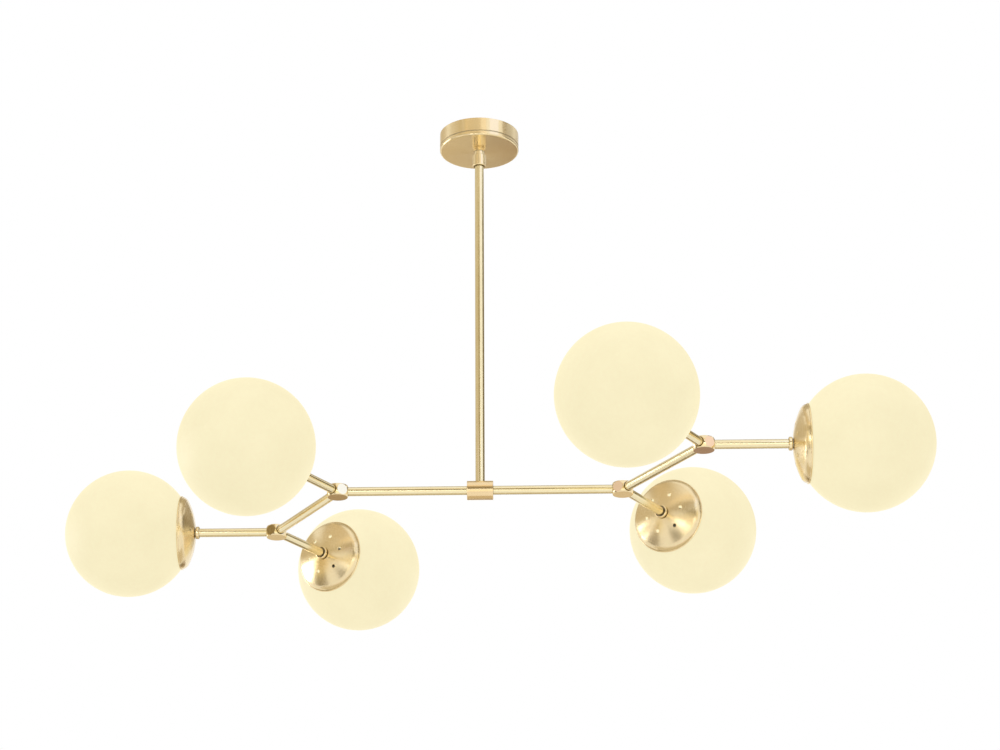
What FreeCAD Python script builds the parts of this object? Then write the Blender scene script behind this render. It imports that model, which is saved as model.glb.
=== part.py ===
import FreeCAD, Part
import math
import os

os.makedirs("parts", exist_ok=True)

# A rod-hung chandelier with six ball globes on a branching, flat brass frame.
# Lengths are millimetres. The origin is the point of the ceiling over the stem, +Z is up,
# +X runs along the bar and -Y is the side that faces the room.

# Frame layout, all in one horizontal plane
bar_reach = 215.5          # stem axis to the centre of an inner hub
link_reach = 222.0         # inner hub centre to outer hub centre
arm_reach = 234.0          # hub centre to globe centre
stem_drop = 570.0          # underside of the canopy to the bar axis
branch_angle = 120.0       # between the ports of a hub

# Tubes
tube_radius = 6.75
tube_wall = 1.2
stem_radius = 7.0
stem_wall = 1.2

# Fits
thread_clearance = 0.05    # between a thread and its hole, drawn plain
running_clearance = 0.05   # stem coupling on the nipple
slip_clearance = 0.1       # canopy collar on the stem
seat_gap = 0.3             # between pieces that lift apart
cut_overrun = 1.0

# Mounting bar and its nipple
mount_length = 110.0
mount_width = 22.0
mount_thickness = 2.0
mount_boss_radius = 7.5
mount_boss_height = 2.0
slot_spacing = 80.0        # between the centres of the two slots
slot_radius = 2.4
slot_length = 16.0         # end to end
ground_offset = 19.0
ground_shank_radius = 1.5
ground_head_radius = 3.2
ground_head_height = 2.0
ground_slot_width = 0.8
nipple_radius = 5.0
nipple_bore_radius = 3.5
nipple_grip = 5.5          # length of nipple inside the coupling
nipple_end_bevel = 0.4
washer_radius = 8.5
washer_thickness = 1.0
nut_flat_radius = 7.0      # half the width across the flats
nut_height = 3.0

# Stem coupling
coupling_radius = 9.0
coupling_length = 12.0
coupling_grip = 5.5        # length of stem inside the coupling
coupling_hole_radius = 4.0
coupling_bevel = 0.6
coupling_gap = 1.5         # to the floor of the canopy

# Canopy, its collar and set screw
canopy_radius = 62.5
canopy_height = 30.0
canopy_wall = 1.2
canopy_edge_radius = 2.5
canopy_ceiling_gap = 0.5
canopy_hole_play = 0.5
groove_rise = 6.2          # underside to the lower lip of the groove
groove_height = 2.2
groove_depth = 1.4
collar_neck_radius = 8.6
collar_neck_length = 11.0
collar_radius = 10.75
collar_length = 21.5
collar_bevel = 0.6
collar_mouth_radius = 8.7
collar_mouth_depth = 1.6
set_screw_radius = 2.0
set_screw_sink = 0.4
set_screw_socket_radius = 1.0
set_screw_socket_depth = 1.6

# Centre sleeve
sleeve_radius = 14.6
sleeve_length = 39.5
sleeve_bevel = 0.5
sleeve_grip = 12.0         # length of bar inside the sleeve
sleeve_core = 0.6          # metal between the bar bore and the seat of the stem
wire_way_radius = 4.5

# Hubs
hub_radius = 17.6
hub_height = 18.0
hub_facet_radius = 8.2     # radius of the six round flats
hub_grip = 6.7             # length of tube inside a port
hub_ring_width = 0.7       # shadow ring round a tube
hub_ring_depth = 0.9

# Ring nut and threaded end of an arm
ring_nut_radius = 10.0
ring_nut_length = 5.2
ring_nut_bevel = 1.2
ring_neck_radius = 7.0
ring_neck_length = 1.5
spigot_radius = 5.0
spigot_bore_radius = 3.5
arm_plug_length = 5.2      # solid end of the tube behind the thread

# Dish
dish_rim_radius = 56.2     # inner edge that sits on the glass
dish_depth = 21.2
dish_edge_radius = 10.8    # rounding between the dome and the rim, on the inside
dish_wall = 1.2
dish_flat_radius = 11.0
dish_lip_width = 1.8       # rolled lip round the rim
dish_lip_height = 0.6
vent_count = 6
vent_radius = 2.7
vent_ring_radius = 30.0
vent_sink = 0.6
vent_first_angle = 112.0

# Globe
globe_radius = 100.0
globe_wall = 3.0
globe_opening_radius = 40.0
globe_inside_steps = 12    # straight steps that turn its inside

# Spring clip that grips the opening of the globe
clip_disc_margin = 0.5     # inside the flat of the dish
clip_disc_thickness = 1.0
clip_count = 3
clip_leaf_width = 10.0
clip_leaf_thickness = 0.8
clip_leaf_root = 6.5
clip_leaf_foot = 9.5       # radius where a leaf leaves the disc
clip_leaf_run = 15.0       # straight run through the opening
clip_tip_run = 8.0
clip_tip_lean = 4.0
clip_bend_radius = 3.0
clip_first_angle = 22.0     # leaves between the vents

# Lampholder and its screw shell
holder_neck_radius = 8.5
holder_neck_length = 6.0
holder_flare_length = 11.0
holder_radius = 19.5
holder_length = 46.0
holder_lip_radius = 20.3
holder_lip_length = 4.0
holder_bush_depth = 8.0
holder_mouth_bevel = 1.2
shell_radius = 13.95
shell_wall = 0.6
shell_length = 26.0

# Lamp
lamp_radius = 30.0
lamp_length = 106.0
lamp_neck_radius = 14.5
lamp_cap_length = 25.5
lamp_neck_rise = 2.0
lamp_button_radius = 5.0
lamp_button_length = 1.2
lamp_insulator_length = 3.0

# Wiring
wire_radius = 2.2
wire_splice_radius = 3.0

# Heights and places that follow from the sizes above
canopy_floor = -canopy_height
collar_top = canopy_floor - collar_neck_length
collar_bottom = collar_top - collar_length
set_screw_level = (collar_top + collar_bottom) / 2
bar_level = canopy_floor - stem_drop
coupling_bottom = canopy_floor + canopy_wall + coupling_gap
coupling_top = coupling_bottom + coupling_length
nipple_bottom = coupling_top - nipple_grip
stem_top = coupling_bottom + coupling_grip
stem_seat = tube_radius + sleeve_core
stem_bore_radius = stem_radius - stem_wall
tube_bore_radius = tube_radius - tube_wall
boss_bottom = -mount_thickness - mount_boss_height
nut_top = boss_bottom - washer_thickness
facet_offset = math.sqrt(hub_radius ** 2 - hub_facet_radius ** 2)
port_seat = facet_offset - hub_grip
spigot_hole_radius = spigot_radius + thread_clearance

# Places along an arm, counted from the centre of its hub
dish_rim_place = arm_reach - math.sqrt((globe_radius + seat_gap) ** 2 - dish_rim_radius ** 2)
dish_edge_reach = dish_rim_radius - dish_edge_radius
dish_inner_radius = ((dish_depth ** 2 + dish_edge_reach ** 2 - dish_edge_radius ** 2)
                     / (2 * (dish_depth - dish_edge_radius)))
dish_outer_radius = dish_inner_radius + dish_wall
dish_centre_place = dish_rim_place - dish_depth + dish_inner_radius
dish_floor_place = dish_centre_place - math.sqrt(dish_inner_radius ** 2 - dish_flat_radius ** 2)
dish_back_place = dish_floor_place - dish_wall
arm_shoulder_place = dish_back_place - ring_neck_length - ring_nut_length
clip_disc_radius = dish_flat_radius - clip_disc_margin
holder_place = dish_floor_place + clip_disc_thickness
spigot_end_place = holder_place + holder_bush_depth
holder_mouth_place = holder_place + holder_length
shell_floor_place = holder_mouth_place - shell_length
lamp_place = shell_floor_place + shell_wall + seat_gap
opening_place = arm_reach - math.sqrt(globe_radius ** 2 - globe_opening_radius ** 2)

X_AXIS = FreeCAD.Vector(1, 0, 0)
Y_AXIS = FreeCAD.Vector(0, 1, 0)
Z_AXIS = FreeCAD.Vector(0, 0, 1)
ORIGIN = FreeCAD.Vector(0, 0, 0)


def at(along, across=0, up=0):
    return FreeCAD.Vector(along, across, up)


def ring_point(centre, radius, angle):
    """Point of a circle in the outline plane, at an angle in degrees."""
    turn = math.radians(angle)
    return (centre[0] + radius * math.cos(turn), centre[1] + radius * math.sin(turn))


def arc_step(centre, radius, start, end):
    """Outline step for an arc: its middle and its end."""
    return (ring_point(centre, radius, (start + end) / 2), ring_point(centre, radius, end))


def outline_edges(steps):
    """Edges through (along, radius) points. A step that is a pair of points is an arc."""
    edges = []
    here = at(*steps[0])
    for step in steps[1:]:
        if isinstance(step[0], tuple):
            there = at(*step[1])
            edges.append(Part.Arc(here, at(*step[0]), there).toShape())
        else:
            there = at(*step)
            edges.append(Part.makeLine(here, there))
        here = there
    return edges


def outline_face(steps):
    edges = outline_edges(steps)
    edges.append(Part.makeLine(edges[-1].Vertexes[-1].Point, at(*steps[0])))
    return Part.Face(Part.Wire(Part.__sortEdges__(edges)))


def turned(steps):
    """Solid turned about the X axis from a closed outline."""
    return outline_face(steps).revolve(ORIGIN, X_AXIS, 360)


def upright(shape):
    """Stands a piece that was turned about X on the Z axis."""
    shape.rotate(ORIGIN, Y_AXIS, -90)
    return shape


def rod(radius, start, end):
    """Round bar along X from start to end."""
    return Part.makeCylinder(radius, end - start, at(start), X_AXIS)


def pipe(radius, bore, start, end):
    hole = rod(bore, start - cut_overrun, end + cut_overrun)
    return rod(radius, start, end).cut(hole)


def bevelled_rod(radius, start, end, bevel):
    return turned([(start, 0), (start, radius - bevel), (start + bevel, radius),
                   (end - bevel, radius), (end, radius - bevel), (end, 0)])


def spun(shape, angle):
    """Copy of a piece turned about its own X axis."""
    copy = shape.copy()
    copy.rotate(ORIGIN, X_AXIS, angle)
    return copy


def placed(shape, hub, heading):
    """Copy of a piece drawn along X, laid from a hub along a heading at bar height."""
    copy = shape.copy()
    copy.rotate(ORIGIN, Z_AXIS, heading)
    copy.translate(at(hub[0], hub[1], bar_level))
    return copy


def walked(start, heading, distance):
    turn = math.radians(heading)
    return (start[0] + distance * math.cos(turn), start[1] + distance * math.sin(turn))


# The two sides are the same under half a turn about the stem.
half_turn = 180.0
sides = {"left": 0.0, "right": half_turn}
inner_ports = (0.0, branch_angle, -branch_angle)
outer_ports = (half_turn, half_turn - branch_angle, branch_angle - half_turn)
inner_hubs = {side: walked((0, 0), half_turn + turn, bar_reach) for side, turn in sides.items()}
outer_hubs = {
    side: walked(inner_hubs[side], branch_angle + turn, link_reach) for side, turn in sides.items()
}

# Each arm leaves a hub on a heading and ends in a globe.
arms = {
    "left_near": (inner_hubs["left"], -branch_angle),
    "left_end": (outer_hubs["left"], half_turn),
    "left_far": (outer_hubs["left"], half_turn - branch_angle),
    "right_far": (inner_hubs["right"], half_turn - branch_angle),
    "right_end": (outer_hubs["right"], 0.0),
    "right_near": (outer_hubs["right"], -branch_angle),
}


def through_plate(radius, offset):
    """Cutter for a hole through the mounting bar, at an offset along it."""
    depth = mount_thickness + 2 * cut_overrun
    return Part.makeCylinder(radius, depth, at(offset, 0, -mount_thickness - cut_overrun))


def make_mounting_bar():
    """Steel strip with round ends, two slots, a threaded boss and a ground hole."""
    straight = (mount_length - mount_width) / 2
    corner = at(-straight, -mount_width / 2, -mount_thickness)
    plate = Part.makeBox(2 * straight, mount_width, mount_thickness, corner)
    for side in (-1, 1):
        end = Part.makeCylinder(mount_width / 2, mount_thickness, at(side * straight, 0, -mount_thickness))
        plate = plate.fuse(end)
    boss = Part.makeCylinder(mount_boss_radius, -boss_bottom, at(0, 0, boss_bottom))
    plate = plate.fuse(boss).removeSplitter()
    run = slot_length - 2 * slot_radius
    for side in (-1, 1):
        middle = side * slot_spacing / 2
        corner = at(middle - run / 2, -slot_radius, -mount_thickness - cut_overrun)
        slot = Part.makeBox(run, 2 * slot_radius, mount_thickness + 2 * cut_overrun, corner)
        for end in (-1, 1):
            slot = slot.fuse(through_plate(slot_radius, middle + end * run / 2))
        plate = plate.cut(slot.removeSplitter())
    depth = 2 * cut_overrun - boss_bottom
    bore = Part.makeCylinder(nipple_radius + thread_clearance, depth, at(0, 0, boss_bottom - cut_overrun))
    return plate.cut(bore).cut(through_plate(ground_shank_radius + thread_clearance, ground_offset))


def make_ground_screw():
    head_bottom = -mount_thickness - ground_head_height
    screw = upright(turned([
        (0, 0),
        (0, ground_shank_radius),
        (-mount_thickness, ground_shank_radius),
        (-mount_thickness, ground_head_radius),
        (head_bottom, ground_head_radius),
        (head_bottom, 0)]))
    length = 2 * ground_head_radius + 2 * cut_overrun
    corner = at(-length / 2, -ground_slot_width / 2, head_bottom - cut_overrun)
    slot = Part.makeBox(length, ground_slot_width, ground_head_height / 2 + cut_overrun, corner)
    screw = screw.cut(slot)
    screw.translate(at(ground_offset))
    return screw


def make_nipple():
    bevel = nipple_end_bevel
    return upright(turned([(0, nipple_bore_radius), (0, nipple_radius - bevel), (-bevel, nipple_radius),
                           (nipple_bottom + bevel, nipple_radius), (nipple_bottom, nipple_radius - bevel),
                           (nipple_bottom, nipple_bore_radius)]))


def make_lock_washer():
    return upright(pipe(washer_radius, nipple_radius + thread_clearance, nut_top, boss_bottom))


def hexagon_block(flat_radius, height):
    """Upright six-sided block whose first flat faces +X."""
    corner = flat_radius / math.cos(math.pi / 6)
    angles = [math.pi / 6 + number * math.pi / 3 for number in range(7)]
    points = [at(corner * math.cos(angle), corner * math.sin(angle)) for angle in angles]
    return Part.Face(Part.makePolygon(points)).extrude(at(0, 0, height))


def make_lock_nut():
    prism = hexagon_block(nut_flat_radius, nut_height)
    prism.translate(at(0, 0, nut_top - nut_height))
    bore = Part.makeCylinder(nipple_radius + thread_clearance, nut_height + 2 * cut_overrun,
                             at(0, 0, nut_top - nut_height - cut_overrun))
    return prism.cut(bore)


def make_stem_coupling():
    body = bevelled_rod(coupling_radius, coupling_bottom, coupling_top, coupling_bevel)
    body = body.cut(rod(coupling_hole_radius, coupling_bottom, coupling_top))
    body = body.cut(rod(nipple_radius + running_clearance, nipple_bottom, coupling_top + cut_overrun))
    body = body.cut(rod(stem_radius + thread_clearance, coupling_bottom - cut_overrun, stem_top))
    return upright(body)


def make_stem():
    return upright(pipe(stem_radius, stem_bore_radius, bar_level + stem_seat, stem_top))


def make_canopy():
    """Shallow drum with a rolled groove, a rounded lower edge and a hole for the stem."""
    inner = canopy_radius - canopy_wall
    groove_low = canopy_floor + groove_rise
    groove_high = groove_low + groove_height
    edge = (canopy_floor + canopy_edge_radius, canopy_radius - canopy_edge_radius)
    hole = stem_radius + canopy_hole_play
    return upright(turned([
        (-canopy_ceiling_gap, canopy_radius),
        (groove_high, canopy_radius),
        (groove_high, canopy_radius - groove_depth),
        (groove_low, canopy_radius - groove_depth),
        (groove_low, canopy_radius),
        (edge[0], canopy_radius),
        arc_step(edge, canopy_edge_radius, 90, 180),
        (canopy_floor, hole),
        (canopy_floor + canopy_wall, hole),
        (canopy_floor + canopy_wall, edge[1]),
        arc_step(edge, canopy_edge_radius - canopy_wall, 180, 90),
        (groove_low - canopy_wall, inner),
        (groove_low - canopy_wall, inner - groove_depth),
        (groove_high + canopy_wall, inner - groove_depth),
        (groove_high + canopy_wall, inner),
        (-canopy_ceiling_gap, inner)]))


def make_canopy_collar():
    """Collar with a slimmer neck under the canopy, a wider mouth and a hole for its set screw."""
    start = collar_bottom - cut_overrun
    collar = bevelled_rod(collar_radius, collar_bottom, collar_top, collar_bevel)
    collar = collar.fuse(rod(collar_neck_radius, collar_top, canopy_floor))
    collar = collar.cut(rod(stem_radius + slip_clearance, start, canopy_floor + cut_overrun))
    collar = collar.cut(rod(collar_mouth_radius, start, collar_bottom + collar_mouth_depth))
    hole = Part.makeCylinder(set_screw_radius + thread_clearance, collar_radius + cut_overrun,
                             at(0, 0, set_screw_level), Y_AXIS)
    return upright(collar).cut(hole)


def make_set_screw():
    inner_end = stem_radius + seat_gap
    outer_end = collar_radius - set_screw_sink
    screw = rod(set_screw_radius, inner_end, outer_end)
    socket = rod(set_screw_socket_radius, outer_end - set_screw_socket_depth, outer_end + cut_overrun)
    screw = screw.cut(socket)
    screw.rotate(ORIGIN, Z_AXIS, 90)
    screw.translate(at(0, 0, set_screw_level))
    return screw


def make_centre_sleeve():
    half = sleeve_length / 2
    body = bevelled_rod(sleeve_radius, -half, half, sleeve_bevel)
    body = body.cut(rod(wire_way_radius, -half, half))
    for end in (-1, 1):
        socket = rod(tube_radius + thread_clearance, half - sleeve_grip, half + cut_overrun)
        if end < 0:
            socket.rotate(ORIGIN, Z_AXIS, 180)
        body = body.cut(socket)
    reach = sleeve_radius + cut_overrun
    way_up = Part.makeCylinder(wire_way_radius, reach, ORIGIN, Z_AXIS)
    stem_socket = Part.makeCylinder(stem_radius + thread_clearance, reach, at(0, 0, stem_seat), Z_AXIS)
    body = body.cut(way_up).cut(stem_socket)
    body.translate(at(0, 0, bar_level))
    return body


def make_bar(turn):
    start = sleeve_length / 2 - sleeve_grip
    tube = pipe(tube_radius, tube_bore_radius, start, bar_reach - port_seat)
    return placed(tube, (0, 0), half_turn + turn)


def make_link(side):
    tube = pipe(tube_radius, tube_bore_radius, port_seat, link_reach - port_seat)
    return placed(tube, inner_hubs[side], branch_angle + sides[side])


def make_hub(ports):
    """Ball with a flat top and bottom, six round flats, and a drilled port in every second flat."""
    ball = Part.makeSphere(hub_radius)
    ball.rotate(ORIGIN, Z_AXIS, branch_angle / 4)
    width = 2 * hub_radius
    slab = Part.makeBox(width, width, hub_height, at(-hub_radius, -hub_radius, -hub_height / 2))
    hub = ball.common(slab)
    beyond = Part.makeBox(hub_radius, width, width, at(facet_offset, -hub_radius, -hub_radius))
    port = rod(wire_way_radius, 0, hub_radius)
    port = port.fuse(rod(tube_radius + thread_clearance, port_seat, hub_radius))
    port = port.fuse(rod(tube_radius + hub_ring_width, facet_offset - hub_ring_depth, hub_radius))
    for step in range(2 * len(ports)):
        cutter = beyond.copy()
        cutter.rotate(ORIGIN, Z_AXIS, ports[0] + step * branch_angle / 2)
        hub = hub.cut(cutter)
    for heading in ports:
        cutter = port.copy()
        cutter.rotate(ORIGIN, Z_AXIS, heading)
        hub = hub.cut(cutter)
    return hub


def make_arm():
    """Arm tube with the threaded end that carries nut, dish, clip and lampholder."""
    plug_start = arm_shoulder_place - arm_plug_length
    tube = pipe(tube_radius, tube_bore_radius, port_seat, arm_shoulder_place)
    plug = rod(tube_radius, plug_start, arm_shoulder_place)
    end = rod(spigot_radius, arm_shoulder_place, spigot_end_place)
    way = rod(spigot_bore_radius, plug_start - cut_overrun, spigot_end_place + cut_overrun)
    return tube.fuse(plug).fuse(end).cut(way).removeSplitter()


def make_ring_nut():
    start = arm_shoulder_place
    end = start + ring_nut_length
    return turned([(start, spigot_hole_radius), (start, ring_nut_radius - ring_nut_bevel),
                   (start + ring_nut_bevel, ring_nut_radius), (end - ring_nut_bevel, ring_nut_radius),
                   (end, ring_nut_radius - ring_nut_bevel), (end, ring_neck_radius),
                   (dish_back_place, ring_neck_radius), (dish_back_place, spigot_hole_radius)])


def dome_angle(radius, reach):
    """Direction from the centre of a ball to its point that far from the arm's axis, on the hub's side."""
    return 180 - math.degrees(math.asin(reach / radius))


def make_dish():
    """Flat dome with a rounded edge, a rolled lip round its rim and sunk vents."""
    dome = (dish_centre_place, 0)
    edge = (dish_rim_place, dish_edge_reach)
    edge_out = dish_edge_radius + dish_wall
    back_radius = math.sqrt(dish_outer_radius ** 2 - (dish_centre_place - dish_back_place) ** 2)
    flat_in = dome_angle(dish_inner_radius, dish_flat_radius)
    flat_out = dome_angle(dish_outer_radius, back_radius)
    join = dome_angle(dish_inner_radius - dish_edge_radius, dish_edge_reach)
    lip = 90 + math.degrees(math.asin(dish_lip_width / edge_out))
    shell = turned([
        (dish_back_place, spigot_hole_radius),
        (dish_back_place, back_radius),
        arc_step(dome, dish_outer_radius, flat_out, join),
        arc_step(edge, edge_out, join, lip),
        ring_point(edge, edge_out + dish_lip_height, lip),
        (dish_rim_place, dish_rim_radius + dish_wall + dish_lip_height),
        (dish_rim_place, dish_rim_radius),
        arc_step(edge, dish_edge_radius, 90, join),
        arc_step(dome, dish_inner_radius, join, flat_in),
        (dish_floor_place, spigot_hole_radius)])
    vent = make_vent_cutter()
    for number in range(vent_count):
        shell = shell.cut(spun(vent, number * 360 / vent_count))
    return shell


def make_vent_cutter():
    """Vent hole with a sunk edge, drilled square to the dome at the first vent's place."""
    drill = rod(vent_radius, dish_inner_radius - cut_overrun, dish_outer_radius + cut_overrun)
    low = dish_outer_radius - vent_sink
    high = dish_outer_radius + vent_sink
    sink = Part.makeCone(vent_radius, vent_radius + 2 * vent_sink, high - low, at(low), X_AXIS)
    cutter = drill.fuse(sink)
    cutter.rotate(ORIGIN, Z_AXIS, dome_angle(dish_outer_radius, vent_ring_radius))
    cutter.translate(at(dish_centre_place))
    return spun(cutter, vent_first_angle)


def rounded_path(points, radius):
    """Straight runs joined by tangent arcs."""
    edges = []
    here = at(*points[0])
    for before, corner, after in zip(points, points[1:], points[2:]):
        back = at(*before).sub(at(*corner)).normalize()
        ahead = at(*after).sub(at(*corner)).normalize()
        half = back.getAngle(ahead) / 2
        setback = radius / math.tan(half)
        first = at(*corner).add(back * setback)
        last = at(*corner).add(ahead * setback)
        inward = back.add(ahead).normalize()
        middle = at(*corner).add(inward * (radius / math.sin(half) - radius))
        edges.append(Part.makeLine(here, first))
        edges.append(Part.Arc(first, middle, last).toShape())
        here = last
    edges.append(Part.makeLine(here, at(*points[-1])))
    return Part.Wire(edges)


def make_spring_clip():
    """Disc with three leaves that run through the opening of the globe and lean in at the tips."""
    grip_radius = math.sqrt((globe_opening_radius - seat_gap) ** 2 - (clip_leaf_width / 2) ** 2)
    leaf_line = grip_radius - clip_leaf_thickness / 2
    disc_middle = dish_floor_place + clip_disc_thickness / 2
    run_end = opening_place + clip_leaf_run
    path = rounded_path([(disc_middle, clip_leaf_root), (disc_middle, clip_leaf_foot),
                         (opening_place, leaf_line), (run_end, leaf_line),
                         (run_end + clip_tip_run, leaf_line - clip_tip_lean)], clip_bend_radius)
    start = path.Vertexes[0].Point
    ahead = path.Edges[0].tangentAt(path.Edges[0].FirstParameter)
    across = ahead.cross(Z_AXIS).normalize() * (clip_leaf_thickness / 2)
    side = Z_AXIS * (clip_leaf_width / 2)
    corners = [start + across + side, start - across + side, start - across - side, start + across - side]
    section = Part.makePolygon(corners + corners[:1])
    leaf = path.makePipeShell([section], True, False)
    clip = pipe(clip_disc_radius, spigot_hole_radius, dish_floor_place, holder_place)
    for number in range(clip_count):
        clip = clip.fuse(spun(leaf, clip_first_angle + number * 360 / clip_count))
    return clip


def make_lampholder():
    neck_end = holder_place + holder_neck_length
    flare_end = neck_end + holder_flare_length
    lip_start = holder_mouth_place - holder_lip_length
    well_radius = shell_radius + thread_clearance
    body = turned([
        (holder_place, 0),
        (holder_place, holder_neck_radius),
        (neck_end, holder_neck_radius),
        (flare_end, holder_radius),
        (lip_start, holder_radius),
        (lip_start, holder_lip_radius),
        (holder_mouth_place, holder_lip_radius),
        (holder_mouth_place, well_radius + holder_mouth_bevel),
        (holder_mouth_place - holder_mouth_bevel, well_radius),
        (shell_floor_place, well_radius),
        (shell_floor_place, 0)])
    return body.cut(rod(spigot_hole_radius, holder_place - cut_overrun, spigot_end_place))


def make_screw_shell():
    """Brass cup that the lamp screws into, drawn without its thread."""
    end = holder_mouth_place - holder_mouth_bevel
    inner = shell_radius - shell_wall
    floor = shell_floor_place + shell_wall
    return turned([(shell_floor_place, 0), (shell_floor_place, shell_radius), (end, shell_radius),
                   (end, inner), (floor, inner), (floor, 0)])


def make_lamp():
    """Lamp with its cap, a neck that flares in one curve and a round crown."""
    cap_radius = shell_radius - shell_wall - seat_gap
    insulator_start = lamp_place + lamp_button_length
    cap_start = insulator_start + lamp_insulator_length
    cap_end = lamp_place + lamp_cap_length
    neck = cap_end + lamp_neck_rise
    crown = lamp_place + lamp_length - lamp_radius
    run = crown - neck
    flare = (run ** 2 + lamp_neck_radius ** 2 - lamp_radius ** 2) / (2 * (lamp_radius - lamp_neck_radius))
    flare_reach = lamp_neck_radius + flare
    join = math.degrees(math.atan2(flare_reach, -run))
    return turned([
        (lamp_place, 0),
        (lamp_place, lamp_button_radius),
        (insulator_start, lamp_button_radius),
        (cap_start, cap_radius),
        (cap_end, cap_radius),
        (neck, lamp_neck_radius),
        arc_step((neck, flare_reach), flare, -90, join - 180),
        arc_step((crown, 0), lamp_radius, join, 0)])


def make_globe():
    """Hollow ball with a plain opening. Straight steps turn its inside, which keeps its mesh light."""
    centre = (arm_reach, 0)
    inner_radius = globe_radius - globe_wall
    inner_mouth = dome_angle(inner_radius, globe_opening_radius)
    outside = arc_step(centre, globe_radius, dome_angle(globe_radius, globe_opening_radius), 0)
    turns = [number * inner_mouth / globe_inside_steps for number in range(globe_inside_steps + 1)]
    inside = [ring_point(centre, inner_radius, turn) for turn in turns]
    return turned([(opening_place, globe_opening_radius), outside] + inside)


def make_wiring():
    """Insulated leads inside the tubes, from the top of the nipple to the lampholders."""
    start = wire_splice_radius / 2
    block = 2 * wire_splice_radius
    corner = at(-wire_splice_radius, -wire_splice_radius, bar_level - wire_splice_radius)
    loom = Part.makeBox(block, block, block, corner)
    crimp = hexagon_block(wire_splice_radius, block)
    crimp.translate(at(0, 0, -wire_splice_radius))
    runs = [Part.makeCylinder(wire_radius, -bar_level - start, at(0, 0, bar_level + start), Z_AXIS)]
    for side, turn in sides.items():
        for hub in (inner_hubs[side], outer_hubs[side]):
            loom = loom.fuse(placed(crimp, hub, 0))
        along_bar = rod(wire_radius, start, bar_reach - start)
        along_link = rod(wire_radius, start, link_reach - start)
        runs.append(placed(along_bar, (0, 0), half_turn + turn))
        runs.append(placed(along_link, inner_hubs[side], branch_angle + turn))
    for hub, heading in arms.values():
        runs.append(placed(rod(wire_radius, start, spigot_end_place), hub, heading))
    for run in runs:
        loom = loom.fuse(run)
    return loom


def group(shapes):
    return Part.makeCompound(shapes)


nodes = {
    "mounting_bar": make_mounting_bar(),
    "ground_screw": make_ground_screw(),
    "ceiling_nipple": make_nipple(),
    "lock_washer": make_lock_washer(),
    "lock_nut": make_lock_nut(),
    "stem_coupling": make_stem_coupling(),
    "hanging_stem": make_stem(),
    "canopy": make_canopy(),
    "canopy_collar": make_canopy_collar(),
    "collar_set_screw": make_set_screw(),
    "centre_sleeve": make_centre_sleeve(),
    "wiring_loom": make_wiring(),
}

inner_hub = make_hub(inner_ports)
outer_hub = make_hub(outer_ports)
for side, turn in sides.items():
    nodes["bar_" + side] = make_bar(turn)
    nodes["link_" + side] = make_link(side)
    nodes["hub_inner_" + side] = placed(inner_hub, inner_hubs[side], turn)
    nodes["hub_outer_" + side] = placed(outer_hub, outer_hubs[side], turn)

arm_pieces = {
    "arm": make_arm(),
    "dish": make_dish(),
    "spring_clip": make_spring_clip(),
    "lampholder": make_lampholder(),
    "lamp": make_lamp(),
    "globe": make_globe(),
}
for piece, shape in arm_pieces.items():
    for place, (hub, heading) in arms.items():
        nodes[piece + "_" + place] = placed(shape, hub, heading)

ring_nut = make_ring_nut()
screw_shell = make_screw_shell()
nodes["ring_nuts"] = group([placed(ring_nut, hub, heading) for hub, heading in arms.values()])
nodes["screw_shells"] = group([placed(screw_shell, hub, heading) for hub, heading in arms.values()])

for name, shape in nodes.items():
    shape.exportStep("parts/" + name + ".step")
    state = "valid" if shape.isValid() else "NOT VALID"
    print(name, len(shape.Solids), "solids", round(shape.Volume), "mm3", state)
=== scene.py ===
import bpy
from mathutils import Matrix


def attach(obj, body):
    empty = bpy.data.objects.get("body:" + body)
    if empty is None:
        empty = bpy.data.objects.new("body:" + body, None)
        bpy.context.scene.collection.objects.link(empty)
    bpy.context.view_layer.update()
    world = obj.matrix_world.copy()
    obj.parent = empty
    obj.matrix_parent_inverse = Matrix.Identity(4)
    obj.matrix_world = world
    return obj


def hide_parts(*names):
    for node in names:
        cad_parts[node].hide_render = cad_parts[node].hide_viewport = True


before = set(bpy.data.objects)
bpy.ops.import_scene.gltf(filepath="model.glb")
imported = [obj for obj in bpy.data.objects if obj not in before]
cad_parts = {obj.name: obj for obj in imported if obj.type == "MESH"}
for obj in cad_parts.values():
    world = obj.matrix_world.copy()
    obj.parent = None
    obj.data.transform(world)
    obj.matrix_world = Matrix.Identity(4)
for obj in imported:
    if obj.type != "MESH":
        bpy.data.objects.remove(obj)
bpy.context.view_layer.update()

import math

import bmesh
import bpy
from mathutils import Matrix, Vector

# A rod-hung chandelier in pale brass with six lit opal globes.
# Lengths are metres. Headings are degrees from +X towards +Y.

# Camera, worked out from the globes' places and sizes in the photograph
camera_place = Vector((-0.01742, -3.68895, -1.87598))
camera_rise = 0.37771           # radians above the horizon
camera_turn = 0.01313           # radians to the right of +Y
camera_roll = -0.00581          # radians
object_turn = -0.02563          # radians, the frame's own turn about the stem, taken by the camera
focal_share = 2.57854           # focal length over the width of the picture
sensor_width = 36.0             # millimetres
camera_clip = 0.05

# Light
sky_fill = 0.45                 # the world's strength where neither camera nor reflection sees it
light_target = (0, 0, -0.5)
key_place, key_size, key_power = (0.9, -3.6, -0.4), (1.1, 2.4), 11
over_place, over_size, over_power = (-0.8, -0.6, 2.2), (2.4, 2.4), 22

# Floor, a round disc
floor_height = -3.4
floor_reach = 12.0
floor_edges = 144
floor_lift = 0.52               # how much the floor is lifted towards the white behind it
floor_grain = 3.0
floor_roughness = 0.8

# Studio cards
card_distance = 3.4             # of the upright cards' side edges from the stem
card_below_height = -2.35
card_above_height = 2.0
hub_card_depth = 1.0            # Y of the cards behind the hubs
hub_card_half = 0.07            # half the side of a hub's small cards
facet_card_reach = 0.9          # from a hub's round flat to its card

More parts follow.
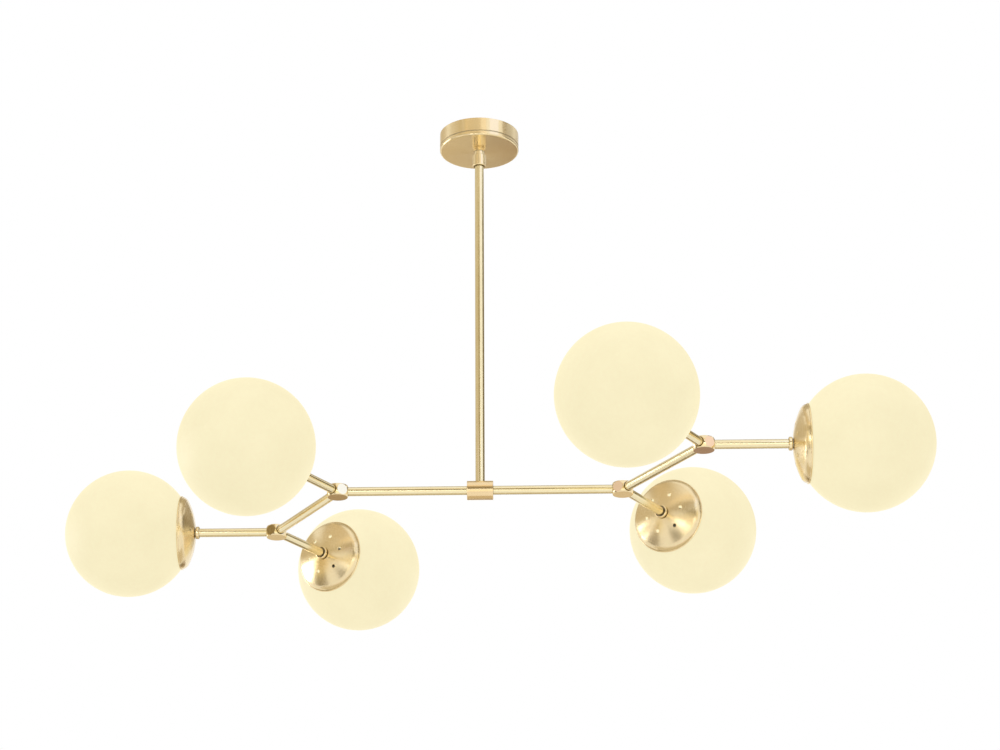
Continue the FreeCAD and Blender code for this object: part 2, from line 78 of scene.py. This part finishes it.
# Frame
bar_height = -0.6
inner_reach = 0.2155
link_reach = 0.222

# Canopy collar, along the stem from the ceiling down
collar_start = 0.0300
collar_shoulder = 0.0370
collar_end = 0.0559
collar_radius = 0.01075
collar_bore = 0.0071
collar_neck = 0.0077
collar_mouth = 0.0087
collar_mouth_depth = 0.0016
collar_bevel = 0.0006
collar_segments = 96
set_screw_level = -0.05175
set_screw_hole = 0.00205
set_screw_drill = 0.01          # length of the drill
drill_segments = 32

# Ring nuts, along an arm from the centre of its hub
nut_front = 0.12235
nut_back = 0.12755
nut_bore = 0.00506
nut_neck = 0.0070
nut_groove_inner = 0.0069       # radii between which the groove lies
nut_groove_outer = 0.0084
nut_groove_depth = 0.0026
nut_ring_setback = 0.0005       # of the outer ring's edge behind the front
nut_round = 0.0013
nut_round_centre = 0.0087
nut_round_steps = 6
nut_segments = 48

# Dishes' rolled beads, along an arm
dish_back = 0.12905
dish_rim = 0.15093
dish_rim_radius = 0.0572
bead_inset = 0.00098
bead_rise = 0.0003
bead_radii = (0.00135, 0.00115)
bead_end = 330                  # degrees round the bead's own outline
bead_steps = 11
bead_segments = 112

# Lamp caps, along an arm
cap_start = 0.1568
cap_end = 0.1774
cap_radius = 0.01307
cap_thread = 0.00022            # height of the thread
cap_pitch = 0.0036
cap_rows = 61
cap_fade_rows = 4               # rows over which the thread runs out at either end
cap_segments = 48

# Surfaces
tint_span = (0.3, 0.7)          # part of a pattern over which a colour goes from tint to tint
metal_rough_span = (0.25, 0.75)
# occlusion levels over which the painted shade in seams and grooves fades out
painted_shade_span = (0.35, 0.8)
edge_softening = 0.0004         # radius by which shading rounds the sharp edges
fine_relief = 0.00005
cast_relief = 0.00006
drawn_across, drawn_along = 900, 9
ring_scale = 2600.0
plastic_grain = 240.0
crisp_edge = 35                 # degrees
rolled_edge = 60

pale_brass = ((0.88, 0.76, 0.48), (0.96, 0.85, 0.56))
gold_brass = ((0.88, 0.71, 0.42), (0.96, 0.80, 0.50))
warm_brass = ((0.87, 0.66, 0.37), (0.95, 0.74, 0.45))
bare_brass = ((0.66, 0.50, 0.22), (0.78, 0.62, 0.32))
bare_steel = ((0.52, 0.53, 0.54), (0.68, 0.69, 0.70))
green_steel = ((0.05, 0.22, 0.08), (0.09, 0.32, 0.12))
cap_nickel = ((0.62, 0.60, 0.55), (0.78, 0.76, 0.70))
wire_white = ((0.78, 0.76, 0.72), (0.88, 0.86, 0.82))
holder_black = ((0.012, 0.011, 0.01), (0.02, 0.019, 0.018))
bulb_white = ((0.86, 0.84, 0.80), (0.92, 0.90, 0.86))
opal_glow = ((0.80, 0.725, 0.47), (0.83, 0.755, 0.495))
opal_body = ((0.21, 0.19, 0.14), (0.25, 0.23, 0.17))
floor_pale = ((0.80, 0.79, 0.77), (0.84, 0.83, 0.81))
plain_white = (1, 1, 1, 1)


def walked(start, heading, distance):
    """Place at a distance from another, on the same level."""
    turn = math.radians(heading)
    return Vector((start[0] + distance * math.cos(turn), start[1] + distance * math.sin(turn),
                   start[2]))


def along(heading):
    """Level direction of a heading."""
    turn = math.radians(heading)
    return Vector((math.cos(turn), math.sin(turn), 0))


stem_foot = Vector((0, 0, bar_height))
inner_hubs = {"left": walked(stem_foot, 180, inner_reach),
              "right": walked(stem_foot, 0, inner_reach)}
outer_hubs = {"left": walked(inner_hubs["left"], 120, link_reach),
              "right": walked(inner_hubs["right"], -60, link_reach)}
arms = {
    "left_near": (inner_hubs["left"], -120),
    "left_end": (outer_hubs["left"], 180),
    "left_far": (outer_hubs["left"], 60),
    "right_far": (inner_hubs["right"], 60),
    "right_end": (outer_hubs["right"], 0),
    "right_near": (outer_hubs["right"], -120),
}


class Nodes:
    """Short way to build one material's nodes."""

    def __init__(self, name):
        self.material = bpy.data.materials.new(name)
        self.material.use_nodes = True
        self.tree = self.material.node_tree
        self.shader = self.tree.nodes["Principled BSDF"]
        self.output = self.tree.nodes["Material Output"]

    def add(self, kind, inputs=None, **settings):
        node = self.tree.nodes.new(kind)
        for key, value in settings.items():
            setattr(node, key, value)
        for key, value in (inputs or {}).items():
            if isinstance(value, bpy.types.NodeSocket):
                self.tree.links.new(value, node.inputs[key])
            else:
                node.inputs[key].default_value = value
        return node

    def link(self, output, target):
        self.tree.links.new(output, target)

    def ramp(self, factor, stops):
        """Colour ramp between two stops."""
        node = self.add("ShaderNodeValToRGB", {"Fac": factor})
        elements = node.color_ramp.elements
        for element, (place, colour) in zip(elements, stops):
            element.position = place
            element.color = (*colour, 1)
        return node.outputs["Color"]

    def tinted(self, factor, tints):
        """Colour that goes from one tint to another with a pattern."""
        return self.ramp(factor, zip(tint_span, tints))

    def levelled(self, factor, levels, span=tint_span):
        """Grey that goes from one level to another with a pattern."""
        return self.ramp(factor, [(place, (level,) * 3) for place, level in zip(span, levels)])

    def noise(self, vector, scale, detail=3.0, roughness=0.5):
        inputs = {"Vector": vector, "Scale": scale, "Detail": detail, "Roughness": roughness}
        return self.add("ShaderNodeTexNoise", inputs).outputs["Fac"]

    def mix(self, share, first, second):
        inputs = {"Factor": share, "A": first, "B": second}
        return self.add("ShaderNodeMix", inputs).outputs["Result"]

    def place(self):
        """Place on the object at rest."""
        return self.add("ShaderNodeTexCoord").outputs["Object"]

    def mapped(self, vector, **inputs):
        sockets = {"Vector": vector, **inputs}
        return self.add("ShaderNodeMapping", sockets).outputs["Vector"]

    def round_axis(self, point, axis):
        """Direction round an axis through a point, and the distance from it."""
        offset = self.add("ShaderNodeVectorMath", {0: self.place(), 1: point},
                          operation="SUBTRACT").outputs[0]
        round_way = self.add("ShaderNodeVectorMath", {0: offset, 1: axis},
                             operation="CROSS_PRODUCT").outputs[0]
        distance = self.add("ShaderNodeVectorMath", {0: round_way},
                            operation="LENGTH").outputs["Value"]
        return round_way, distance

    def painted_crevice_shade(self, colour, reach=0.0025, darkest=0.3):
        """Colour darkened in seams and grooves by ambient occlusion: painted shade."""
        occlusion = self.add("ShaderNodeAmbientOcclusion", {"Distance": reach}, samples=8)
        shade = self.levelled(occlusion.outputs["AO"], (darkest, 1.0), painted_shade_span)
        return self.add("ShaderNodeVectorMath", {0: colour, 1: shade},
                        operation="MULTIPLY").outputs[0]

    def bump(self, height, strength, distance=fine_relief):
        bevel = self.add("ShaderNodeBevel", {"Radius": edge_softening}, samples=4)
        inputs = {"Height": height, "Strength": strength, "Distance": distance,
                  "Normal": bevel.outputs["Normal"]}
        return self.add("ShaderNodeBump", inputs).outputs["Normal"]


def metal(nodes, tints, tone, rough, anisotropic=0.0):
    """Metal whose tint and roughness follow a grey pattern, with painted shade darkening its
    seams.
    """
    shader = nodes.shader
    shader.inputs["Metallic"].default_value = 1.0
    shader.inputs["Anisotropic"].default_value = anisotropic
    # base colour carries painted shade in seams and grooves, from ambient occlusion
    nodes.link(nodes.painted_crevice_shade(nodes.tinted(tone, tints)), shader.inputs["Base Color"])
    nodes.link(nodes.levelled(tone, rough, metal_rough_span), shader.inputs["Roughness"])


def drawn_tube(name, heading, tints, rough=(0.13, 0.22)):
    """Polished tube with faint drawing lines along it. A heading of None stands it upright."""
    nodes = Nodes(name)
    if heading is None:
        lines = nodes.mapped(nodes.place(), Scale=(drawn_across, drawn_across, drawn_along))
    else:
        turned_place = nodes.mapped(nodes.place(), Rotation=(0, 0, -math.radians(heading)))
        lines = nodes.mapped(turned_place, Scale=(drawn_along, drawn_across, drawn_across))
    fine = nodes.noise(lines, scale=1.0, detail=4.0)
    cloudy = nodes.noise(nodes.place(), scale=38.0)
    metal(nodes, tints, nodes.mix(0.45, fine, cloudy), rough)
    nodes.link(nodes.bump(fine, 0.10), nodes.shader.inputs["Normal"])
    return nodes.material


def spun_metal(name, point, axis, rough=(0.2, 0.32), anisotropic=0.8):
    """Metal brushed in rings about an axis, so that its highlights fan out across the rings."""
    nodes = Nodes(name)
    round_way, distance = nodes.round_axis(point, axis)
    ring = nodes.add("ShaderNodeCombineXYZ", {"X": distance}).outputs["Vector"]
    fine = nodes.noise(ring, ring_scale, detail=2.0)
    cloudy = nodes.noise(nodes.place(), scale=26.0)
    metal(nodes, gold_brass, nodes.mix(0.5, fine, cloudy), rough, anisotropic)
    tangent = nodes.add("ShaderNodeVectorTransform", {"Vector": round_way}, vector_type="VECTOR",
                        convert_from="OBJECT", convert_to="WORLD").outputs["Vector"]
    nodes.link(tangent, nodes.shader.inputs["Tangent"])
    nodes.shader.inputs["Anisotropic Rotation"].default_value = 0.25
    nodes.link(nodes.bump(fine, 0.12), nodes.shader.inputs["Normal"])
    return nodes.material


def cast_metal(name, tints, rough=(0.2, 0.34), grain=420.0, relief=0.15):
    """Turned or plated metal with an even, fine grain."""
    nodes = Nodes(name)
    fine = nodes.noise(nodes.place(), grain, detail=4.0)
    cloudy = nodes.noise(nodes.place(), scale=60.0, detail=2.0)
    metal(nodes, tints, nodes.mix(0.5, fine, cloudy), rough)
    nodes.link(nodes.bump(fine, relief, cast_relief), nodes.shader.inputs["Normal"])
    return nodes.material


def lit_opal():
    """Opal glass lit from inside: an even pale yellow with a very faint cloudiness."""
    nodes = Nodes("opal_lit")
    shader = nodes.shader
    cloudy = nodes.noise(nodes.place(), scale=14.0, roughness=0.55)
    fine = nodes.noise(nodes.place(), scale=160.0, detail=2.0)
    tone = nodes.mix(0.3, cloudy, fine)
    glow = nodes.tinted(tone, opal_glow)
    nodes.link(nodes.tinted(tone, opal_body), shader.inputs["Base Color"])
    nodes.link(glow, shader.inputs["Emission Color"])
    shader.inputs["Emission Strength"].default_value = 1.0
    shader.inputs["Roughness"].default_value = 0.5
    shader.inputs["Specular IOR Level"].default_value = 0.12
    nodes.link(nodes.bump(fine, 0.05), shader.inputs["Normal"])
    return nodes.material


def plastic(name, tints, rough=(0.3, 0.42)):
    nodes = Nodes(name)
    shader = nodes.shader
    fine = nodes.noise(nodes.place(), plastic_grain)
    nodes.link(nodes.tinted(fine, tints), shader.inputs["Base Color"])
    nodes.link(nodes.levelled(fine, rough), shader.inputs["Roughness"])
    nodes.link(nodes.bump(fine, 0.1), shader.inputs["Normal"])
    return nodes.material


def dress(node, material):
    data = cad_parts[node].data
    data.materials.clear()
    data.materials.append(material)


def dress_nodes():
    """A material for every piece that is kept from the construction."""
    straight_tube = drawn_tube("brass_tube_x", 0, pale_brass)
    slanted_tube = drawn_tube("brass_tube_60", 60, pale_brass)
    link_tube = drawn_tube("brass_tube_120", 120, pale_brass)
    arm_tubes = {0: straight_tube, 180: straight_tube, 60: slanted_tube, -120: slanted_tube}
    dress("hanging_stem", drawn_tube("brass_stem", None, pale_brass))
    hub = cast_metal("brass_hub", gold_brass, (0.07, 0.12), grain=900.0, relief=0.03)
    for side in ("left", "right"):
        dress("bar_" + side, straight_tube)
        dress("link_" + side, link_tube)
        dress("hub_inner_" + side, hub)
        dress("hub_outer_" + side, hub)
    dress("collar_set_screw", hub)
    stem_line = ((0, 0, 0), (0, 0, 1))
    dress("canopy", spun_metal("brass_canopy", *stem_line, (0.16, 0.24), 0.65))
    dress("canopy_collar", spun_metal("brass_collar", *stem_line, (0.12, 0.20), 0.5))
    dress("centre_sleeve", drawn_tube("brass_sleeve", 0, warm_brass, (0.15, 0.22)))
    zinc = cast_metal("zinc_plate", bare_steel, grain=180.0)
    for node in ("mounting_bar", "ceiling_nipple", "lock_washer", "lock_nut", "stem_coupling"):
        dress(node, zinc)
    dress("ground_screw", cast_metal("green_screw", green_steel))
    dress("wiring_loom", plastic("wire_cover", wire_white))
    dress("screw_shells", cast_metal("brass_shell", bare_brass))
    spring = cast_metal("spring_steel", bare_steel, grain=600.0)
    holder = plastic("lampholder_black", holder_black)
    bulb = plastic("lamp_white", bulb_white, (0.4, 0.55))
    opal = lit_opal()
    for place, (hub_place, heading) in arms.items():
        dress("arm_" + place, arm_tubes[heading])
        dress("dish_" + place, spun_metal("brass_dish_" + place, hub_place, along(heading)))
        dress("spring_clip_" + place, spring)
        dress("lampholder_" + place, holder)
        dress("lamp_" + place, bulb)
        dress("globe_" + place, opal)
    # The collar and the stem's top show the studio, not the underside of the canopy
    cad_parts["canopy"].visible_glossy = False


def arm_matrix(place):
    """From X along an arm, counted from the centre of its hub, to the frame."""
    hub_place, heading = arms[place]
    return Matrix.Translation(hub_place) @ Matrix.Rotation(math.radians(heading), 4, "Z")


def arc(centre, radii, start, end, steps):
    """Points of an oval arc in an outline, from one angle in degrees to another."""
    points = []
    for step in range(steps + 1):
        turn = math.radians(start + (end - start) * step / steps)
        points.append((centre[0] + radii[0] * math.cos(turn),
                       centre[1] + radii[1] * math.sin(turn)))
    return points


def place_in_scene(name, data):
    thing = bpy.data.objects.new(name, data)
    bpy.context.scene.collection.objects.link(thing)
    return thing


def piece(name, vertices, faces, material, body, sharp=crisp_edge):
    """New piece with smooth faces and crisp edges, on the body that it moves with."""
    mesh = bpy.data.meshes.new(name)
    mesh.from_pydata(vertices, [], faces)
    build = bmesh.new()
    build.from_mesh(mesh)
    bmesh.ops.recalc_face_normals(build, faces=build.faces)
    build.to_mesh(mesh)
    build.free()
    mesh.materials.append(material)
    mesh.shade_smooth()
    mesh.set_sharp_from_angle(angle=math.radians(sharp))
    thing = place_in_scene(name, mesh)
    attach(thing, body)
    return thing


def turned(outline, matrices, segments):
    """Rings turned about X from a closed outline of (along, radius) points, one a matrix."""
    vertices, faces = [], []
    count = len(outline)
    for matrix in matrices:
        start = len(vertices)
        for step in range(segments):
            turn = 2 * math.pi * step / segments
            for reach, radius in outline:
                point = Vector((reach, radius * math.cos(turn), radius * math.sin(turn)))
                vertices.append(matrix @ point)
        for step in range(segments):
            here = start + step * count
            there = start + (step + 1) % segments * count
            for number in range(count):
                after = (number + 1) % count
                faces.append((here + number, here + after, there + after, there + number))
    return vertices, faces


def drill(thing, centre, radius, depth):
    """Round hole along Y."""
    build = bmesh.new()
    matrix = Matrix.Translation(centre) @ Matrix.Rotation(math.radians(90), 4, "X")
    bmesh.ops.create_cone(build, cap_ends=True, segments=drill_segments, radius1=radius,
                          radius2=radius, depth=depth, matrix=matrix)
    mesh = bpy.data.meshes.new("drill")
    build.to_mesh(mesh)
    build.free()
    cutter = place_in_scene("drill", mesh)
    modifier = thing.modifiers.new("drill", "BOOLEAN")
    modifier.operation = "DIFFERENCE"
    modifier.object = cutter
    drilled = thing.evaluated_get(bpy.context.evaluated_depsgraph_get())
    thing.data = bpy.data.meshes.new_from_object(drilled)
    thing.modifiers.clear()
    bpy.data.objects.remove(cutter)


def make_collar():
    """Canopy collar with a short slim neck, a wide mouth and the hole of its set screw."""
    outline = [(collar_start, collar_bore), (collar_start, collar_neck),
               (collar_shoulder, collar_neck), (collar_shoulder, collar_radius - collar_bevel),
               (collar_shoulder + collar_bevel, collar_radius),
               (collar_end - collar_bevel, collar_radius),
               (collar_end, collar_radius - collar_bevel), (collar_end, collar_mouth),
               (collar_end - collar_mouth_depth, collar_mouth),
               (collar_end - collar_mouth_depth, collar_bore)]
    downwards = Matrix.Rotation(math.radians(90), 4, "Y")
    vertices, faces = turned(outline, [downwards], collar_segments)
    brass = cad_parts["canopy_collar"].data.materials[0]
    collar = piece("canopy_collar_turned", vertices, faces, brass, "canopy_body")
    drill(collar, (0, collar_radius, set_screw_level), set_screw_hole, set_screw_drill)
    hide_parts("canopy_collar")


def make_ring_nuts():
    """Rounded ring nuts with a deep groove round the tube."""
    outline = [(nut_front, nut_bore), (nut_front, nut_groove_inner),
               (nut_front + nut_groove_depth, nut_groove_inner),
               (nut_front + nut_groove_depth, nut_groove_outer),
               (nut_front + nut_ring_setback, nut_groove_outer)]
    radii = (nut_round, nut_round)
    outline += arc((nut_front + nut_round, nut_round_centre), radii, 180, 90, nut_round_steps)
    outline += arc((nut_back - nut_round, nut_round_centre), radii, 90, 0, nut_round_steps)
    outline += [(nut_back, nut_neck), (dish_back, nut_neck), (dish_back, nut_bore)]
    vertices, faces = turned(outline, [arm_matrix(place) for place in arms], nut_segments)
    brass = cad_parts["hub_inner_left"].data.materials[0]
    nuts = piece("ring_nut_rings", vertices, faces, brass, "fixture")
    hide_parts("ring_nuts")


def make_dish_rims():
    """Rolled bead over the lip of each dish."""
    outline = arc((dish_rim - bead_inset, dish_rim_radius + bead_rise), bead_radii, 0, bead_end,
                  bead_steps)
    for place in arms:
        vertices, faces = turned(outline, [arm_matrix(place)], bead_segments)
        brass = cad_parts["dish_" + place].data.materials[0]
        piece("dish_rim_" + place, vertices, faces, brass, "fixture", rolled_edge)


def make_lamp_caps():
    """Threaded metal cap over the foot of each lamp."""
    nickel = cast_metal("nickel_cap", cap_nickel, (0.22, 0.34), grain=700.0, relief=0.05)
    for place in arms:
        matrix = arm_matrix(place)
        vertices, faces = [], []
        for row in range(cap_rows):
            reach = cap_start + (cap_end - cap_start) * row / (cap_rows - 1)
            fade = min(1.0, row / cap_fade_rows, (cap_rows - 1 - row) / cap_fade_rows)
            for step in range(cap_segments):
                turn = 2 * math.pi * step / cap_segments
                wave = 0.5 + 0.5 * math.cos(2 * math.pi * reach / cap_pitch - turn)
                radius = cap_radius + cap_thread * wave * fade
                point = Vector((reach, radius * math.cos(turn), radius * math.sin(turn)))
                vertices.append(matrix @ point)
        for row in range(cap_rows - 1):
            here, there = row * cap_segments, (row + 1) * cap_segments
            for step in range(cap_segments):
                after = (step + 1) % cap_segments
                faces.append((here + step, here + after, there + after, there + step))
        piece("lamp_cap_" + place, vertices, faces, nickel, "lamp_body_" + place,
              rolled_edge)


def card(name, corners, colour):
    """Coloured studio card that only reflections see."""
    mesh = bpy.data.meshes.new(name)
    mesh.from_pydata(corners, [], [(0, 1, 2, 3)])
    thing = place_in_scene(name, mesh)
    nodes = Nodes(name)
    nodes.tree.nodes.remove(nodes.shader)
    glow = nodes.add("ShaderNodeEmission", {"Color": (*colour, 1), "Strength": 1.0})
    nodes.link(glow.outputs["Emission"], nodes.output.inputs["Surface"])
    mesh.materials.append(nodes.material)
    thing.visible_camera = False
    thing.visible_diffuse = False
    thing.visible_shadow = False
    thing.visible_transmission = False


def upright_card(name, azimuths, rises, colour):
    """Card across azimuths and rises in degrees, seen from the middle of the frame.

    Azimuths count from the camera's side to the right.
    """
    spots = []
    for azimuth in azimuths:
        turn = math.radians(azimuth)
        spots.append((card_distance * math.sin(turn), -card_distance * math.cos(turn)))
    (x0, y0), (x1, y1) = spots
    low, high = (bar_height + card_distance * math.tan(math.radians(rise)) for rise in rises)
    card(name, [(x0, y0, low), (x1, y1, low), (x1, y1, high), (x0, y0, high)], colour)


def level_card(name, height, sides, depths, colour):
    (left, right), (near, far) = sides, depths
    card(name, [(left, near, height), (right, near, height), (right, far, height),
                (left, far, height)], colour)


def hub_card(name, hub_place, colour):
    """Small card in the way of the light that a hub's flat underside sends to the camera."""
    way = hub_place - camera_place
    way.z = -way.z
    x, y, z = hub_place + way * (hub_card_depth - hub_place.y) / way.y
    half = hub_card_half
    card(name, [(x - half, y, z - half), (x + half, y, z - half), (x + half, y, z + half),
                (x - half, y, z + half)], colour)


def facet_card(name, hub_place, heading, colour):
    """Small card in the way of the light that a hub's round flat sends to the camera."""
    way = (hub_place - camera_place).normalized().reflect(along(heading))
    centre = hub_place + way * facet_card_reach
    side = Vector((-way.y, way.x, 0)).normalized() * hub_card_half
    rise = Vector((0, 0, hub_card_half))
    card(name, [centre - side - rise, centre + side - rise, centre + side + rise,
                centre - side + rise], colour)


def make_cards():
    """Toned cards round the studio, which draw the light and dark shapes on the metal."""
    # Name, azimuths, rises, colour
    for row in (
            ("card_front", (-18, 24), (1, 18), (0.27, 0.23, 0.14)),
            ("card_front_stem", (-34, 6), (18, 32), (0.42, 0.34, 0.20)),
            ("card_front_low", (-24, 26), (-27, -6), (1.22, 1.18, 1.02)),
            ("card_glow_left_dish", (-27, -16.5), (-9, 3), (4.4, 4.4, 4.6)),
            ("card_glow_right_dish", (-10.2, -6.4), (-9, 1), (5.0, 5.0, 5.2)),
            ("card_dark_fan", (-44, -24), (-30, -13), (0.16, 0.12, 0.07)),
            ("card_dark_left", (-93, -68), (-27, -8), (0.16, 0.12, 0.07)),
            ("card_left_glow", (-120, -90), (-8, 10), (4.6, 4.6, 4.8)),
            ("card_left_front", (-100, -34), (13, 32), (0.64, 0.56, 0.41)),
            ("card_left_back", (-172, -100), (13, 32), (0.62, 0.54, 0.40)),
            ("card_left_high", (-172, -40), (32, 40), (0.75, 0.62, 0.42)),
            ("card_front_high", (-40, 22), (32, 42), (1.0, 0.83, 0.56)),
            ("card_peak_high", (32, 60), (31, 40), (1.15, 1.22, 1.6)),
            ("card_right", (80, 122), (10, 32), (0.16, 0.13, 0.08)),
            ("card_right_back", (122, 172), (10, 32), (0.36, 0.30, 0.20)),
            ("card_right_high", (74, 176), (31, 56), (0.37, 0.29, 0.18)),
            ("card_low_right", (150, 181), (-28, -12), (0.34, 0.25, 0.17)),
            ("card_low_left", (181, 212), (-28, -12), (0.70, 0.60, 0.44))):
        upright_card(*row)
    # Name, height, sides, depths, colour
    below, above = card_below_height, card_above_height
    for row in (
            ("card_below", below, (-2.2, 2.2), (-0.1, 1.6), (0.66, 0.58, 0.44)),
            ("card_below_back", below, (-1.0, 1.0), (1.9, 4.4), (0.26, 0.21, 0.14)),
            ("card_above", above, (-2.2, 2.2), (0.4, 2.8), (0.52, 0.46, 0.34)),
            ("card_above_left", above, (-3.2, -0.8), (-2.4, 0.4), (0.66, 0.56, 0.40))):
        level_card(*row)
    # Name, hub, colour
    for row in (
            ("card_inner_left", inner_hubs["left"], (0.42, 0.32, 0.21)),
            ("card_inner_right", inner_hubs["right"], (0.72, 0.61, 0.45)),
            ("card_outer_right", outer_hubs["right"], (0.40, 0.29, 0.25))):
        hub_card(*row)
    # Name, hub, heading of its flat, colour
    for row in (
            ("card_facet_inner_left", inner_hubs["left"], -60, (1.05, 1.25, 1.85)),
            ("card_facet_inner_right", inner_hubs["right"], -120, (0.84, 0.72, 0.74)),
            ("card_facet_outer_left", outer_hubs["left"], -120, (0.28, 0.21, 0.10)),
            ("card_facet_outer_right", outer_hubs["right"], -60, (1.02, 0.88, 1.0))):
        facet_card(*row)


def seen_ray(tree):
    """One for a ray from the camera, in a reflection or through glass, and zero for others."""
    path = tree.nodes.new("ShaderNodeLightPath")
    seen = path.outputs["Is Camera Ray"]
    for ray in ("Is Glossy Ray", "Is Transmission Ray"):
        either = tree.nodes.new("ShaderNodeMath")
        either.operation = "MAXIMUM"
        tree.links.new(seen, either.inputs[0])
        tree.links.new(path.outputs[ray], either.inputs[1])
        seen = either.outputs["Value"]
    return seen


def make_floor():
    """Pale round floor, lifted towards white where it is seen, which keeps its shadows."""
    mesh = bpy.data.meshes.new("floor")
    last = 360 - 360 / floor_edges
    edge = arc((0, 0), (floor_reach, floor_reach), 0, last, floor_edges - 1)
    mesh.from_pydata([(x, y, floor_height) for x, y in edge], [], [range(len(edge))])
    floor = place_in_scene("floor", mesh)
    nodes = Nodes("floor_pale")
    grain = nodes.noise(nodes.place(), floor_grain, detail=4.0)
    nodes.link(nodes.tinted(grain, floor_pale), nodes.shader.inputs["Base Color"])
    nodes.shader.inputs["Roughness"].default_value = floor_roughness
    level = nodes.add("ShaderNodeMapRange", {"Value": seen_ray(nodes.tree), "To Max": floor_lift})
    nodes.link(level.outputs["Result"], nodes.shader.inputs["Emission Strength"])
    nodes.shader.inputs["Emission Color"].default_value = plain_white
    mesh.materials.append(nodes.material)


def make_world():
    """White behind the object and in its reflections, a plain fill elsewhere."""
    world = bpy.data.worlds.new("studio")
    bpy.context.scene.world = world
    world.use_nodes = True
    tree = world.node_tree
    back = tree.nodes["Background"]
    back.inputs["Color"].default_value = plain_white
    level = tree.nodes.new("ShaderNodeMapRange")
    level.inputs["To Min"].default_value = sky_fill
    level.inputs["To Max"].default_value = 1.0
    tree.links.new(seen_ray(tree), level.inputs["Value"])
    tree.links.new(level.outputs["Result"], back.inputs["Strength"])


def make_light(name, place, size, power):
    data = bpy.data.lights.new(name, "AREA")
    data.shape = "RECTANGLE"
    data.size, data.size_y = size
    data.energy = power
    light = place_in_scene(name, data)
    light.location = place
    way = Vector(light_target) - Vector(place)
    light.rotation_euler = way.to_track_quat("-Z", "Y").to_euler()
    return light


def make_lights():
    make_light("key", key_place, key_size, key_power)
    over = make_light("over", over_place, over_size, over_power)
    over.visible_glossy = False


def make_camera():
    data = bpy.data.cameras.new("camera")
    data.sensor_width = sensor_width
    data.lens = focal_share * sensor_width
    data.clip_start = camera_clip
    camera = place_in_scene("camera", data)
    level_share = math.cos(camera_rise)
    forward = Vector((math.sin(camera_turn) * level_share, math.cos(camera_turn) * level_share,
                      math.sin(camera_rise)))
    right = Vector((math.cos(camera_turn), -math.sin(camera_turn), 0))
    up = right.cross(forward)
    rolled_right = right * math.cos(camera_roll) + up * math.sin(camera_roll)
    rolled_up = -right * math.sin(camera_roll) + up * math.cos(camera_roll)
    pose = Matrix((rolled_right, rolled_up, -forward)).transposed().to_4x4()
    pose.translation = camera_place
    camera.matrix_world = Matrix.Rotation(-object_turn, 4, "Z") @ pose
    bpy.context.scene.camera = camera


dress_nodes()
make_collar()
make_ring_nuts()
make_dish_rims()
make_lamp_caps()
make_cards()
make_floor()
make_world()
make_lights()
make_camera()

bpy.context.scene.view_settings.view_transform = "Standard"
bpy.context.view_layer.update()
